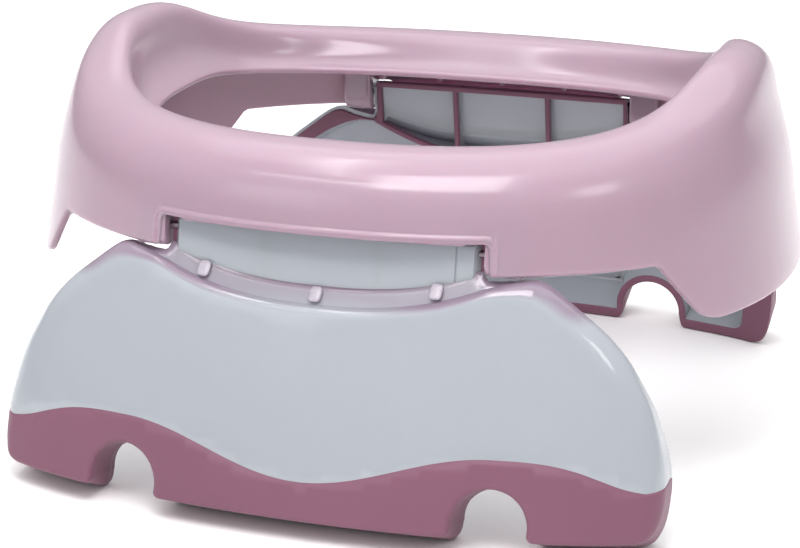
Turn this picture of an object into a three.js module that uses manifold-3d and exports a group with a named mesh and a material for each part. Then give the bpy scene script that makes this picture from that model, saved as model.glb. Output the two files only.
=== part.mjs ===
// Folding travel potty: an oval seat ring standing on two splayed, hinged legs.
// Millimetres, +Z up. The origin is on the ground under the middle of the seat.
// X runs along the ring's long axis. Each leg hinges under one long side of the ring, about X.
import * as THREE from 'three';
import * as BufferGeometryUtils from 'three/addons/utils/BufferGeometryUtils.js';
import Module from 'manifold-3d';

const wasm = await Module();
wasm.setup();

const GAP = 0.3;
const FINE = 0.01;

// ---- Seat ring ----
const RING_COLUMNS = 72;
const RING_ROWS = 12;
const WALL = 3;
const SKIRT_BOTTOM = 77;
const SIDE_SKIRT_BOTTOM = 100;
const SKIRT_HALF_LENGTH = 159;
const SKIRT_HALF_WIDTH = 140.5;
const SKIRT_FLARE = 0.17;
const SKIRT_POWER = 2.25;
const CREST_POWER = 2.35;
const LIP_POWER = 2.8;
const SIDE_CREST_Z = 140.8;
const END_CREST_Z = 161.3;
const CREST_FALL_Y = 63.3;
const CREST_FALL_POWER = 2.8;
const SIDE_REST_Y = 110;
const LOBE_TOP_X = 123;
const LOBE_TIP_X = 136.5;
const FAR = 200;
const CUT_LOW_Z = 60;

// ---- Notch in each long side, with its bead, and the hinge brackets beside it ----
const NOTCH_HALF = 64.2;
const NOTCH_TOP = 111.9;
const NOTCH_CORNER = 3;
const BEAD_WIDTH = 2.6;
const BEAD_RISE = 1;
const BEAD_REACH_X = 80;
const BEAD_TOP_Z = 130;
const BRACKET_INNER_X = 64.4;
const BRACKET_OUTER_X = 76.5;
const RAIL_HALF = 61;
const RAIL_O = 127.4;
const RAIL_WIDTH = 1.9;
const RAIL_LOW_Z = 110.6;
const RAIL_END_RISE = 2;
const RAIL_HIGH_Z = 132;
const RAIL_LEAN = 2.4;
const BRACKET_RADIUS = 8;

// ---- Hinge ----
const HINGE_Y = 119.6;
const HINGE_Z = 106.5;
const PIN_RADIUS = 1.5;
const PIN_BORE_RADIUS = 1.7;
const PIN_START_X = 59.9;
const PIN_END_X = 73.5;

// ---- Leg: o is the distance outward from the middle plane, at height z ----
const INNER_FOOT_O = 136.8;
const INNER_SLOPE = 0.173;
const OUTER_FOOT_O = 161.9;
const OUTER_SLOPE = 0.296;
const NECK_OUTER_O = 144.4;
const NECK_SLOPE = 0.173;
const LEG_HALF = 134;
const SOLE_LAND = 5;
const SOLE_RISE = 7.9;
const LEG_TOP = 113.4;
const ABOVE_LEG = 130;
const BELOW_FOOT = -40;
const NECK_LOW = 70;
const NECK_HALF = 62.2;
const NECK_TOP_RADIUS = 6.2;
const SKIN = 3;
const NECK_SKIN = 2.5;
const CELL_RIB_X = 22.6;
const RIB = 2.4;
const END_WALL = 3;
const RAIL = 3.2;
const ARC_LOW = 75;
const ARC_HIGH = 92.5;
const ARC_HALF = 62.6;
const LEDGE_LOW = 85;
const LEDGE_HIGH = 96.9;
const SHOULDER_X = 67;
const SHOULDER_EDGE_Z = 95.7;
const SHOULDER_TOP = 97.6;
const SHOULDER_TOP_O = 124.4;
const LEDGE_RISE = 6.3;
const SHOULDER_DRAFT = Math.tan(38 * Math.PI / 180);

// ---- Finger notches in the foot ----
const FINGER_X = 73;
const FINGER_RADIUS = 14;
const FINGER_TOP = 25.8;
const FINGER_RIM = 3.4;
const FINGER_SLOPE = 0.2;

// ---- Soft grip: foot band, sole, rim and rib caps ----
const CAP = 2.6;
const BAND = 2.2;
const SOLE = 3;
const BAND_LOW = 22.6;
const BAND_HIGH = 37;
const BAND_END = 25.5;
const BAND_POWER = 1.6;
const BAND_END_X = 132;

// ---- Stop buffers on the ledge ----
const STOP_X = 46;
const STOP_WIDTH = 4.2;
const STOP_LENGTH = 7;
const STOP_HEIGHT = 1.9;

// Limits of the blocks that legs are cut from
const BLOCK_NEAR_Y = 90;
const BLOCK_FAR_Y = 190;

function toSolid(geometry) {
  const bare = geometry.clone();
  bare.deleteAttribute('normal');
  bare.deleteAttribute('uv');
  const merged = BufferGeometryUtils.mergeVertices(bare, 1e-4);
  return new wasm.Manifold(new wasm.Mesh({
    numProp: 3,
    vertProperties: new Float32Array(merged.attributes.position.array),
    triVerts: new Uint32Array(merged.index.array),
  }));
}

function toGeometry(solid) {
  const mesh = solid.simplify(FINE).getMesh();
  const geometry = new THREE.BufferGeometry();
  geometry.setAttribute('position', new THREE.BufferAttribute(new Float32Array(mesh.vertProperties), 3));
  geometry.setIndex(new THREE.BufferAttribute(new Uint32Array(mesh.triVerts), 1));
  geometry.computeVertexNormals();
  return geometry;
}

// ---------------------------------------------------------------- general shapes

function steps(from, to, count) {
  return Array.from({ length: count + 1 }, (_, i) => from + (to - from) * i / count);
}

// A solid from corners and triangles, turned inside out where its faces look inward.
function solidFrom(positions, index) {
  const geometry = new THREE.BufferGeometry();
  geometry.setAttribute('position', new THREE.BufferAttribute(new Float32Array(positions), 3));
  geometry.setIndex(index);
  const solid = toSolid(geometry);
  if (solid.volume() > 0) return solid;
  for (let i = 0; i < index.length; i += 3) [index[i], index[i + 1]] = [index[i + 1], index[i]];
  geometry.setIndex(index);
  return toSolid(geometry);
}

// A closed solid through cross-sections at stations along X; every section is a list of [o, z].
function loft(stations, section) {
  const positions = [];
  const index = [];
  const size = section(stations[0]).length;
  for (const x of stations) {
    for (const [o, z] of section(x)) positions.push(x, o, z);
  }
  for (let i = 0; i + 1 < stations.length; i += 1) {
    for (let k = 0; k < size; k += 1) {
      const a = i * size + k;
      const b = i * size + (k + 1) % size;
      index.push(a, b, b + size, a, b + size, a + size);
    }
  }
  const last = (stations.length - 1) * size;
  for (let k = 1; k + 1 < size; k += 1) {
    index.push(0, k + 1, k, last, last + k, last + k + 1);
  }
  return solidFrom(positions, index);
}

// A prism whose outline lies in the XZ plane and which runs along Y.
function prismAlongY(outline, fromY, toY) {
  const shape = new THREE.Shape(outline.map(([x, z]) => new THREE.Vector2(x, z)));
  const geometry = new THREE.ExtrudeGeometry(shape, { depth: toY - fromY, bevelEnabled: false });
  const turn = new THREE.Matrix4().makeBasis(
    new THREE.Vector3(1, 0, 0),
    new THREE.Vector3(0, 0, 1),
    new THREE.Vector3(0, -1, 0),
  );
  geometry.applyMatrix4(turn);
  geometry.translate(0, toY, 0);
  return toSolid(geometry);
}

function box(x0, x1, y0, y1, z0, z1) {
  const geometry = new THREE.BoxGeometry(x1 - x0, y1 - y0, z1 - z0);
  geometry.translate((x0 + x1) / 2, (y0 + y1) / 2, (z0 + z1) / 2);
  return toSolid(geometry);
}

function rodAlongX(radius, x0, x1, y, z, sides = 24) {
  const geometry = new THREE.CylinderGeometry(radius, radius, x1 - x0, sides);
  geometry.rotateZ(Math.PI / 2);
  geometry.translate((x0 + x1) / 2, y, z);
  return geometry;
}

// Points along a smooth curve through the right-hand knots, then the mirror image of them.
function mirroredCurve(knots, count) {
  const places = knots.map(([x, z]) => new THREE.Vector3(x, z, 0));
  const curve = new THREE.CatmullRomCurve3(places, false, 'centripetal');
  const right = curve.getPoints(count).map((p) => [p.x, p.y]);
  const left = right.slice(1).reverse().map(([x, z]) => [-x, z]);
  return [...left, ...right];
}

// ---------------------------------------------------------------- seat ring

function ovalPoint(halfX, halfY, power, angle) {
  const c = Math.cos(angle);
  const s = Math.sin(angle);
  return [
    halfX * Math.sign(c) * Math.abs(c) ** (2 / power),
    halfY * Math.sign(s) * Math.abs(s) ** (2 / power),
  ];
}

// 1 at the two ends of the ring, 0 along its long sides.
function endness(y) {
  const g = 1 / (1 + (Math.abs(y) / CREST_FALL_Y) ** CREST_FALL_POWER);
  const rest = 1 / (1 + (SIDE_REST_Y / CREST_FALL_Y) ** CREST_FALL_POWER);
  return Math.max(0, (g - rest) / (1 - rest));
}

function skirtHalf(z) {
  const inset = SKIRT_FLARE * (z - SKIRT_BOTTOM);
  return [SKIRT_HALF_LENGTH - inset, SKIRT_HALF_WIDTH - inset];
}

// The outer face in section, from the skirt's bottom edge up over the crest and down to the lip.
function ringSection(angle) {
  const crestY = ovalPoint(127.5, 109.5, CREST_POWER, angle)[1];
  const e = endness(crestY);
  const mix = (side, end) => side + (end - side) * e;
  const crest = mix(SIDE_CREST_Z, END_CREST_Z);
  const wall = (z, power) => [...skirtHalf(z), power, z];
  const knots = [
    wall(SKIRT_BOTTOM - 4, SKIRT_POWER),
    wall(SIDE_SKIRT_BOTTOM, SKIRT_POWER),
    wall(mix(118, 122), SKIRT_POWER),
    [mix(148.5, 145.3), 130.5, SKIRT_POWER, crest - mix(13, 17.5)],
    [mix(140, 141.8), 123, SKIRT_POWER, crest - mix(4.2, 3.6)],
    [mix(129, 139.3), 110.5, CREST_POWER, crest],
    [mix(121, 124.6), 97, 2.5, crest - mix(2.8, -3.1)],
    [mix(118, 117.4), 86, LIP_POWER, crest - mix(12.5, 15.7)],
    [mix(116, 107.5), 80.3, LIP_POWER, mix(127.3, 133.5)],
  ];
  const points = knots.map(([halfX, halfY, power, z]) => {
    const [x, y] = ovalPoint(halfX, halfY, power, angle);
    return new THREE.Vector3(x, y, z);
  });
  return new THREE.CatmullRomCurve3(points, false, 'centripetal').getPoints(RING_ROWS);
}

// The face of the ring moved inward by a depth (outward if negative), as a grid of points.
function ringFace(depth) {
  const step = 2 * Math.PI / RING_COLUMNS;
  return Array.from({ length: RING_COLUMNS }, (_, i) => {
    const angle = (i + 0.5) * step;
    const here = ringSection(angle);
    const before = ringSection(angle - step / 2);
    const after = ringSection(angle + step / 2);
    return here.map((point, j) => {
      const along = after[j].clone().sub(before[j]);
      const up = here[Math.min(j + 1, RING_ROWS)].clone().sub(here[Math.max(j - 1, 0)]);
      const normal = along.cross(up).normalize();
      return point.clone().addScaledVector(normal, -depth);
    });
  });
}

// The closed solid round the ring whose sections are the given loops of points.
function ringThrough(loops) {
  const size = loops[0].length;
  const positions = loops.flat().flatMap((p) => [p.x, p.y, p.z]);
  const index = [];
  for (let i = 0; i < RING_COLUMNS; i += 1) {
    for (let k = 0; k < size; k += 1) {
      const a = i * size + k;
      const b = i * size + (k + 1) % size;
      const c = ((i + 1) % RING_COLUMNS) * size + (k + 1) % size;
      const d = ((i + 1) % RING_COLUMNS) * size + k;
      index.push(a, c, b, a, d, c);
    }
  }
  return solidFrom(positions, index);
}

function ringShell(outerDepth, innerDepth) {
  const inner = ringFace(innerDepth);
  return ringThrough(ringFace(outerDepth).map((row, i) => [...row, ...inner[i].slice().reverse()]));
}

// Everything between the ring's face and the lines from its bottom edge to its lip.
function ringInside(depth) {
  return ringThrough(ringFace(depth));
}

function notchOutline(grow) {
  const half = NOTCH_HALF + grow;
  const top = NOTCH_TOP + grow;
  const r = NOTCH_CORNER + grow;
  const corner = steps(0, Math.PI / 2, 6).map((t) => [half - r + r * Math.cos(t), top - r + r * Math.sin(t)]);
  const left = corner.slice().reverse().map(([x, z]) => [-x, z]);
  return [[half, CUT_LOW_Z], ...corner, ...left, [-half, CUT_LOW_Z]];
}

// What is cut away under the long sides, leaving a deep lobe at each end of the ring.
function skirtCutOutline() {
  const side = mirroredCurve([
    [LOBE_TOP_X - 1.5, SIDE_SKIRT_BOTTOM],
    [LOBE_TOP_X + 0.6, SIDE_SKIRT_BOTTOM - 1],
    [LOBE_TIP_X - 3, SKIRT_BOTTOM + 4],
    [LOBE_TIP_X, SKIRT_BOTTOM - 0.4],
    [LOBE_TIP_X + 4, SKIRT_BOTTOM - 1.4],
    [LOBE_TIP_X + 40, SKIRT_BOTTOM - 1.5],
  ], 14);
  const edge = LOBE_TIP_X + 40;
  return [[-edge, CUT_LOW_Z], ...side, [edge, CUT_LOW_Z]];
}

// The curved rail under the ring that stands just behind the skirt, above the neck of a leg.
function stopRail() {
  return loft(steps(-RAIL_HALF, RAIL_HALF, 10), (x) => {
    const o = RAIL_O - bow(x);
    const low = RAIL_LOW_Z + RAIL_END_RISE * (x / RAIL_HALF) ** 2;
    return [
      [o, low],
      [o + RAIL_WIDTH, low],
      [o + RAIL_WIDTH - RAIL_LEAN, RAIL_HIGH_Z],
      [o - RAIL_LEAN, RAIL_HIGH_Z],
    ];
  });
}

function bracket(side) {
  const x0 = Math.min(side * BRACKET_INNER_X, side * BRACKET_OUTER_X);
  const x1 = Math.max(side * BRACKET_INNER_X, side * BRACKET_OUTER_X);
  const knuckle = toSolid(rodAlongX(BRACKET_RADIUS, x0, x1, HINGE_Y, HINGE_Z, 32));
  const column = box(x0, x1, HINGE_Y - BRACKET_RADIUS, HINGE_Y + BRACKET_RADIUS, HINGE_Z, SIDE_CREST_Z);
  return knuckle.add(column);
}

// The two blind holes for the pins of one leg.
function pinBores(x0, x1) {
  const right = toSolid(rodAlongX(PIN_BORE_RADIUS, x0, x1, HINGE_Y, HINGE_Z));
  const left = toSolid(rodAlongX(PIN_BORE_RADIUS, -x1, -x0, HINGE_Y, HINGE_Z));
  return right.add(left);
}

// The room that the rounded top of a neck turns in.
function neckSweep() {
  const half = NECK_HALF + 1.2;
  return toSolid(rodAlongX(NECK_TOP_RADIUS + 0.8, -half, half, HINGE_Y, HINGE_Z, 40));
}

function halfTurn(solid) {
  return solid.rotate([0, 0, 180]);
}

function seatRing() {
  const bead = ringShell(-BEAD_RISE, 1)
    .intersect(prismAlongY(notchOutline(BEAD_WIDTH), -FAR, FAR))
    .intersect(box(-BEAD_REACH_X, BEAD_REACH_X, -FAR, FAR, SIDE_SKIRT_BOTTOM, BEAD_TOP_Z));
  const underside = bracket(-1).add(bracket(1)).add(stopRail()).intersect(ringInside(1));
  const bores = pinBores(BRACKET_INNER_X - 5, PIN_END_X + GAP).add(neckSweep());
  return ringShell(0, WALL)
    .add(bead)
    .subtract(prismAlongY(skirtCutOutline(), -FAR, FAR))
    .subtract(prismAlongY(notchOutline(0), -FAR, FAR))
    .add(underside)
    .add(halfTurn(underside))
    .subtract(bores)
    .subtract(halfTurn(bores));
}

// ---------------------------------------------------------------- leg, built on the +Y side

function bow(x) {
  return x * x / 1050 + 5 * (Math.abs(x) / 129) ** 6;
}

function innerFace(x, z) {
  return INNER_FOOT_O - INNER_SLOPE * z - bow(x) * (1 - 0.75 * z / LEG_TOP);
}

function outerFace(x, z) {
  return OUTER_FOOT_O - OUTER_SLOPE * z - bow(x);
}

function neckFace(x, z) {
  return NECK_OUTER_O - NECK_SLOPE * z - bow(x);
}

function ledgeEdge(x) {
  return LEDGE_LOW + (LEDGE_HIGH - LEDGE_LOW) * (Math.abs(x) / SHOULDER_X) ** 2.5;
}

function arcRib(x) {
  return ARC_LOW + (ARC_HIGH - ARC_LOW) * (x / ARC_HALF) ** 2;
}

function waveLine(x) {
  const d = Math.abs(x);
  if (d < FINGER_X) {
    return (BAND_HIGH + BAND_LOW) / 2 - (BAND_HIGH - BAND_LOW) / 2 * Math.cos(Math.PI * d / FINGER_X);
  }
  const t = Math.min(1, (d - FINGER_X) / (BAND_END_X - FINGER_X)) ** BAND_POWER;
  return (BAND_HIGH + BAND_END) / 2 + (BAND_HIGH - BAND_END) / 2 * Math.cos(Math.PI * t);
}

const LEG_STATIONS = steps(-LEG_HALF, LEG_HALF, 20);

// The wedge between the inner and outer faces, drawn in from each face by the given amounts.
function panelWedge(fromInner, fromSole, fromOuter, top = 100) {
  return loft(LEG_STATIONS, (x) => {
    const inner = (z) => innerFace(x, z) + fromInner;
    const outer = (z) => outerFace(x, z) - fromOuter;
    const landZ = fromSole;
    const riseZ = SOLE_RISE + fromSole;
    return [
      [inner(landZ), landZ],
      [innerFace(x, 0) + Math.max(SOLE_LAND, fromInner + 1), landZ],
      [outer(riseZ), riseZ],
      [outer(top), top],
      [inner(top), top],
    ];
  });
}

function neckWedge(fromInner, fromOuter) {
  return loft(steps(-NECK_HALF, NECK_HALF, 8), (x) => {
    return [
      [innerFace(x, NECK_LOW) + fromInner, NECK_LOW],
      [neckFace(x, NECK_LOW) - fromOuter, NECK_LOW],
      [neckFace(x, LEG_TOP) - fromOuter, LEG_TOP],
      [innerFace(x, LEG_TOP) + fromInner, LEG_TOP],
    ];
  });
}

// The ledge slopes up from the panel's top edge to the neck.
function ledge() {
  return loft(steps(-NECK_HALF, NECK_HALF, 8), (x) => {
    const edge = ledgeEdge(x);
    return [
      [neckFace(x, edge) - 1, edge - 4],
      [outerFace(x, edge) - 0.2, edge - 4],
      [outerFace(x, edge) - 0.2, edge],
      [neckFace(x, edge + LEDGE_RISE) + 0.3, edge + LEDGE_RISE],
      [neckFace(x, edge + LEDGE_RISE) - 1, edge + LEDGE_RISE],
    ];
  });
}

function legOutline(inset) {
  const top = steps(0, SHOULDER_X - 5, 5).map((x) => [x, ledgeEdge(x) - inset]);
  const side = [
    [76 - inset * 0.1, 98.2 - inset],
    [83 - inset * 0.3, 98.2 - inset * 0.95],
    [92.5 - inset * 0.45, 92.2 - inset * 0.9],
    [103 - inset * 0.6, 84.2 - inset * 0.8],
    [112 - inset * 0.8, 75.7 - inset * 0.6],
    [119.4 - inset, 65.6 - inset * 0.3],
    [126.5 - inset, 52],
    [132.3 - inset, 33],
    [133.2 - inset, 20],
    [131.4 - inset, 11.4],
    [127.4 - inset, 6],
    [124 - inset, 2],
  ];
  const curve = mirroredCurve([...top, ...side], 28);
  const foot = 124 - inset;
  return [[-foot, -8], ...curve, [foot, -8]];
}

// The two arched notches of the foot, whose ceilings fall towards the inner face.
function fingerNotches(grow) {
  const r = FINGER_RADIUS + grow;
  const lift = FINGER_TOP - FINGER_RADIUS - FINGER_SLOPE * outerFace(FINGER_X, FINGER_TOP);
  const make = (x) => {
    const round = steps(0, Math.PI, 12).map((t) => [x + r * Math.cos(t), r * Math.sin(t)]);
    const prism = prismAlongY([[x + r, BELOW_FOOT], ...round, [x - r, BELOW_FOOT]], BLOCK_NEAR_Y, BLOCK_FAR_Y);
    return prism.transform([1, 0, 0, 0, 0, 1, FINGER_SLOPE, 0, 0, 0, 1, 0, 0, 0, lift, 1]);
  };
  return make(FINGER_X).add(make(-FINGER_X));
}

// Rounds the top of the neck about the hinge, so that it turns inside the ring.
function neckTop() {
  const half = NECK_HALF + 1;
  const below = box(-half, half, BLOCK_NEAR_Y, BLOCK_FAR_Y, CUT_LOW_Z, HINGE_Z);
  const round = toSolid(rodAlongX(NECK_TOP_RADIUS, -half, half, HINGE_Y, HINGE_Z, 40));
  return below.add(round);
}

// Shapes the shoulders so that they pass the brackets and the skirt when the leg turns.
function shoulderRelief() {
  const near = BLOCK_NEAR_Y;
  const cut = (side) => loft([side * (NECK_HALF + 0.6), side * 110], () => [
    [near, SHOULDER_TOP - SHOULDER_DRAFT * (SHOULDER_TOP_O - near)],
    [SHOULDER_TOP_O, SHOULDER_TOP],
    [128, SHOULDER_EDGE_Z],
    [145, SHOULDER_EDGE_Z + 4],
    [145, ABOVE_LEG],
    [near, ABOVE_LEG],
  ]);
  return cut(-1).add(cut(1));
}

function legEnvelope() {
  const panel = panelWedge(0, 0, 0).intersect(prismAlongY(legOutline(0), BLOCK_NEAR_Y, BLOCK_FAR_Y));
  const neck = neckWedge(0, 0).intersect(neckTop());
  return panel.add(neck).add(ledge()).subtract(fingerNotches(0)).subtract(shoulderRelief());
}

// The open cells between the ribs: three in the neck, one large one below the arc rib.
function cellOutline(x0, x1) {
  const bottom = steps(x0, x1, 8).map((x) => [x, arcRib(x) + RIB / 2]);
  return [...bottom, [x1, LEG_TOP - RAIL], [x0, LEG_TOP - RAIL]];
}

function mainCellOutline() {
  const arc = steps(0, 56, 6).map((x) => [x, arcRib(x) - RIB / 2]);
  const side = [
    [66, 91],
    [76, 90.6],
    [84, 87.4],
    [92.5, 82.2],
    [101, 75],
    [108, 66],
    [114, 55],
    [118.8, 41.5],
    [121.4, 24],
    [121.4, 2],
  ];
  return mirroredCurve([...arc, ...side], 26);
}

function cells() {
  const outer = NECK_HALF - END_WALL;
  const rib = RIB / 2;
  const spans = [
    [-outer, -CELL_RIB_X - rib],
    [-CELL_RIB_X + rib, CELL_RIB_X - rib],
    [CELL_RIB_X + rib, outer],
  ];
  const neckCells = spans
    .map(([x0, x1]) => prismAlongY(cellOutline(x0, x1), BLOCK_NEAR_Y, BLOCK_FAR_Y))
    .reduce((a, b) => a.add(b));
  const underLedge = prismAlongY(
    [...steps(-66, 66, 12).map((x) => [x, ledgeEdge(x) - SKIN]), [66, 60], [-66, 60]],
    BLOCK_NEAR_Y,
    BLOCK_FAR_Y,
  );
  const deep = panelWedge(-8, 5, SKIN);
  const shallow = neckWedge(-8, NECK_SKIN).intersect(neckTop());
  const main = deep
    .intersect(prismAlongY(mainCellOutline(), BLOCK_NEAR_Y, BLOCK_FAR_Y))
    .subtract(fingerNotches(FINGER_RIM));
  return neckCells.intersect(shallow)
    .add(neckCells.intersect(underLedge).intersect(deep))
    .add(main);
}

// Everything that is hard plastic. The clearance draws it back from the soft grip.
function hardRegion(clearance) {
  const wave = steps(-LEG_HALF - 4, LEG_HALF + 4, 30).map((x) => [x, waveLine(x) + clearance]);
  const edge = LEG_HALF + 4;
  const aboveWave = prismAlongY([[-edge, ABOVE_LEG], ...wave, [edge, ABOVE_LEG]], BLOCK_NEAR_Y, BLOCK_FAR_Y);
  const core = panelWedge(CAP + clearance, SOLE + clearance, BAND + clearance)
    .intersect(prismAlongY(legOutline(BAND + clearance), BLOCK_NEAR_Y, BLOCK_FAR_Y))
    .subtract(fingerNotches(BAND + clearance));
  const behindCaps = panelWedge(CAP + clearance, -20, -20, 140);
  return behindCaps.intersect(aboveWave).add(core);
}

function legParts() {
  const leg = legEnvelope().subtract(cells()).subtract(pinBores(PIN_START_X - GAP, PIN_END_X));
  return {
    shell: leg.intersect(hardRegion(GAP)),
    grip: leg.subtract(hardRegion(0)),
  };
}

function stopBuffer(x) {
  const half = STOP_WIDTH / 2;
  const reach = STOP_LENGTH / 2 - half;
  const shape = new THREE.Shape();
  shape.absarc(0, reach, half, 0, Math.PI, false);
  shape.absarc(0, -reach, half, Math.PI, 2 * Math.PI, false);
  const geometry = new THREE.ExtrudeGeometry(shape, {
    depth: STOP_HEIGHT,
    bevelEnabled: false,
    curveSegments: 8,
  });
  const edge = ledgeEdge(x);
  const inner = neckFace(x, edge + LEDGE_RISE) + 0.3;
  const outer = outerFace(x, edge) - 0.2;
  const slope = Math.atan2(LEDGE_RISE, outer - inner);
  geometry.rotateX(-slope);
  geometry.translate(x, (inner + outer) / 2 + 0.2, edge + LEDGE_RISE / 2 + GAP / Math.cos(slope));
  return geometry;
}

// ---------------------------------------------------------------- assembly

function plastic(color, roughness) {
  return new THREE.MeshStandardMaterial({ color, roughness, metalness: 0 });
}

function addMesh(parent, name, geometry, material) {
  const mesh = new THREE.Mesh(geometry, material);
  mesh.name = name;
  parent.add(mesh);
  return mesh;
}

const potty = new THREE.Group();
addMesh(potty, 'seat_ring', toGeometry(seatRing()), plastic(0xd3b6c6, 0.25));

const { shell, grip } = legParts();
const shellGeometry = toGeometry(shell);
const gripGeometry = toGeometry(grip);

function addLeg(name, turned) {
  const leg = new THREE.Group();
  leg.rotation.z = turned ? Math.PI : 0;
  addMesh(leg, `${name}_leg_shell`, shellGeometry, plastic(0xe2e4ea, 0.2));
  addMesh(leg, `${name}_leg_grip`, gripGeometry, plastic(0x9c6f80, 0.6));
  for (const side of [-1, 1]) {
    const end = (turned ? -side : side) > 0 ? 'right' : 'left';
    const x0 = Math.min(side * PIN_START_X, side * PIN_END_X);
    const x1 = Math.max(side * PIN_START_X, side * PIN_END_X);
    const pin = rodAlongX(PIN_RADIUS, x0, x1, HINGE_Y, HINGE_Z);
    addMesh(leg, `${name}_hinge_pin_${end}`, pin, new THREE.MeshStandardMaterial({
      color: 0xb8bcc2,
      roughness: 0.35,
      metalness: 0.9,
    }));
  }
  const places = [['left', -STOP_X], ['middle', 0], ['right', STOP_X]];
  for (const [place, x] of places) {
    addMesh(leg, `${name}_leg_stop_${place}`, stopBuffer(turned ? -x : x), plastic(0xf0eef2, 0.35));
  }
  potty.add(leg);
}

addLeg('front', true);
addLeg('rear', false);

export default potty;
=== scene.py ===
# Folding travel potty: the visual model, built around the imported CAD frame.
# Shapes are worked out in millimetres and turned into metres when a mesh is made. A leg is worked out on
# the +Y side: its faces are given by how far out they lie (_O) at a place across (_X) and a height (_Z).
import math

import bmesh
import bpy
import numpy as np
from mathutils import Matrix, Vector
from mathutils.geometry import delaunay_2d_cdt


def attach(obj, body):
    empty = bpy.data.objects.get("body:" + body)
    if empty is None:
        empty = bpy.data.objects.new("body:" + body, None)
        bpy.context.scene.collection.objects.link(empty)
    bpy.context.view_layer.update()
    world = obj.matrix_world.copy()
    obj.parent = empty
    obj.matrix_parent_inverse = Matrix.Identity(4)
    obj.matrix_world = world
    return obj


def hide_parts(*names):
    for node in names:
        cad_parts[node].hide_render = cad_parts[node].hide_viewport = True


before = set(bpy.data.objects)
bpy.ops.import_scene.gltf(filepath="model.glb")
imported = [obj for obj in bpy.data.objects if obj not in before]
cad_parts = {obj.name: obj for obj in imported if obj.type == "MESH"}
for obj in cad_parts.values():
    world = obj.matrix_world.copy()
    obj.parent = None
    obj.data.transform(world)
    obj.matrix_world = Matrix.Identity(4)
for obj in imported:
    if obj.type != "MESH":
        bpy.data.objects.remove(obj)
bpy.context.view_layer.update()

MM = 0.001

# Sockets of a colour Mix node, which has several of each name.
COLOUR_A = 6
COLOUR_B = 7
COLOUR_RESULT = 2

# ---- Seat ring, as in the CAD ----
WALL = 3.0
SMALL_ROUND = 0.4
SKIRT_BOTTOM = 77.0
SIDE_SKIRT_BOTTOM = 100.0
SKIRT_HALF_LENGTH = 159.0
SKIRT_HALF_WIDTH = 140.5
SKIRT_FLARE = 0.17
SKIRT_POWER = 2.25
SIDE_CREST_Z = 140.8
END_CREST_Z = 161.3
CREST_FALL_Y = 63.3
CREST_END_Y = 110.0
CREST_HALF_Y = 110.5
CREST_FALL_POWER = 2.8
LOBE_TOP_X = 123.0
LOBE_TIP_X = 136.5
RIM_BULGE = 1.2
LIP_POWER = 2.35
COLUMN_Z = 105.0  # where the columns of the mesh are spaced
LOBE_Z = 88.0  # where the length of the end lobes is measured
RISING_Z = 122.0  # the outer face rises at least this far at every angle

# ---- Notch in each long side ----
NOTCH_HALF = 65.4
NOTCH_TOP = 111.9
NOTCH_CORNER = 3.2
CORNER_X = NOTCH_HALF + RIM_BULGE - NOTCH_CORNER
CORNER_Z = NOTCH_TOP + RIM_BULGE - NOTCH_CORNER
BEAD_WIDTH = 2.0
BEAD_RISE = 0.8
BEAD_STEP = 0.4
BEAD_TOP_Z = 125.0
BEAD_END_X = 80.0

# ---- Hinge brackets ----
HINGE_Y = 119.6
HINGE_Z = 106.5
BRACKET_INNER_X = 63.3
BRACKET_OUTER_X = 76.5
BRACKET_RADIUS = 8.0
BRACKET_TOP_Z = 134.0
BRACKET_EDGE = 0.9
BRACKET_CLEAR = 1.4

# ---- Rail over each neck, and its ribs ----
RAIL_HALF = 61.0
RAIL_OUT = 127.4
RAIL_SKIN = 1.9
RAIL_CLEAR = 1.3
RAIL_LOW = 110.6
RAIL_STEP_LOW = 114.0
RAIL_TOP = 130.0
RAIL_END_X = 56.0
RAIL_END_RISE = 2.2
TOOTH_XS = (-58.4, -30.6, 0.0, 30.6, 58.4)
TOOTH_OUT = 127.8
TOOTH_CLEAR = 2.6
TOOTH_LOW = 114.0
TOOTH_HIGH = 118.6

# ---- Leg ----
INNER_FOOT_O = 136.8
INNER_SLOPE = 0.173
OUTER_FOOT_O = 161.9
OUTER_SLOPE = 0.296
NECK_OUTER_O = 144.4
NECK_SLOPE = 0.173
LEG_TOP = 113.4
PANEL_TOP_Z = 60.0  # above this the outline is the panel's top edge
FOOT_TOP_Z = 40.0  # below this it is the foot
TOE_START_X = 118.0  # beyond this it is the rounded toe
SHOULDER_START_X = 66.0
SHOULDER_END_X = 80.0
OUTLINE_STEP = 3.0
FACE_STEP = 4.0
SOLE_LAND = 5.0
SOLE_RISE = 7.9
NECK_HALF = 62.2
PLATE_HALF = 58.6
NECK_TOP = 112.5
SKIN = 3.0
NECK_SKIN = 2.5
CELL_RIB_X = 22.6
RIB = 2.4
END_WALL = 3.0
RAIL_BOTTOM = 109.6
ARC_LOW = 75.0
ARC_HIGH = 92.5
ARC_HALF = 62.6
LEDGE_LOW = 85.0
LEDGE_HIGH = 96.9
LEDGE_RISE = 6.3
LEDGE_DEPTH = 8.1
SHOULDER_X = 67.0
SHOULDER_CROWN_Z = 97.7
SHOULDER_LAND = 2.8
SHOULDER_DRAFT = 0.7
FINGER_X = 73.0
FINGER_RADIUS = 14.0
FINGER_MIDDLE = 11.8
FINGER_DROP = 4.7
FINGER_RIM = 3.4
CELL_SOLE = 4.6
CELL_DRAFT = 1.6
CAP = 2.6
RIM_DEPTH = 0.9
RIM_INSET = 1.5
CAP_ROUND = 0.8
BAND_SKIN = 1.1
BAND_LOW = 22.6
BAND_HIGH = 37.0
BAND_END = 25.5
BAND_END_X = 132.0
STOP_X = 46.0
SEAM_X = -52.0
SEAM_DEPTH = 0.5
END_RECESS = 1.3
END_WALL_LOW = 93.0
BAND_SINK = 1.2
FLOOR_ROUND = 1.5
OUTLINE_CORNER = 3.2
EDGE_RADIUS = 2.2
LEDGE_RADIUS = 3.4
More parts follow.
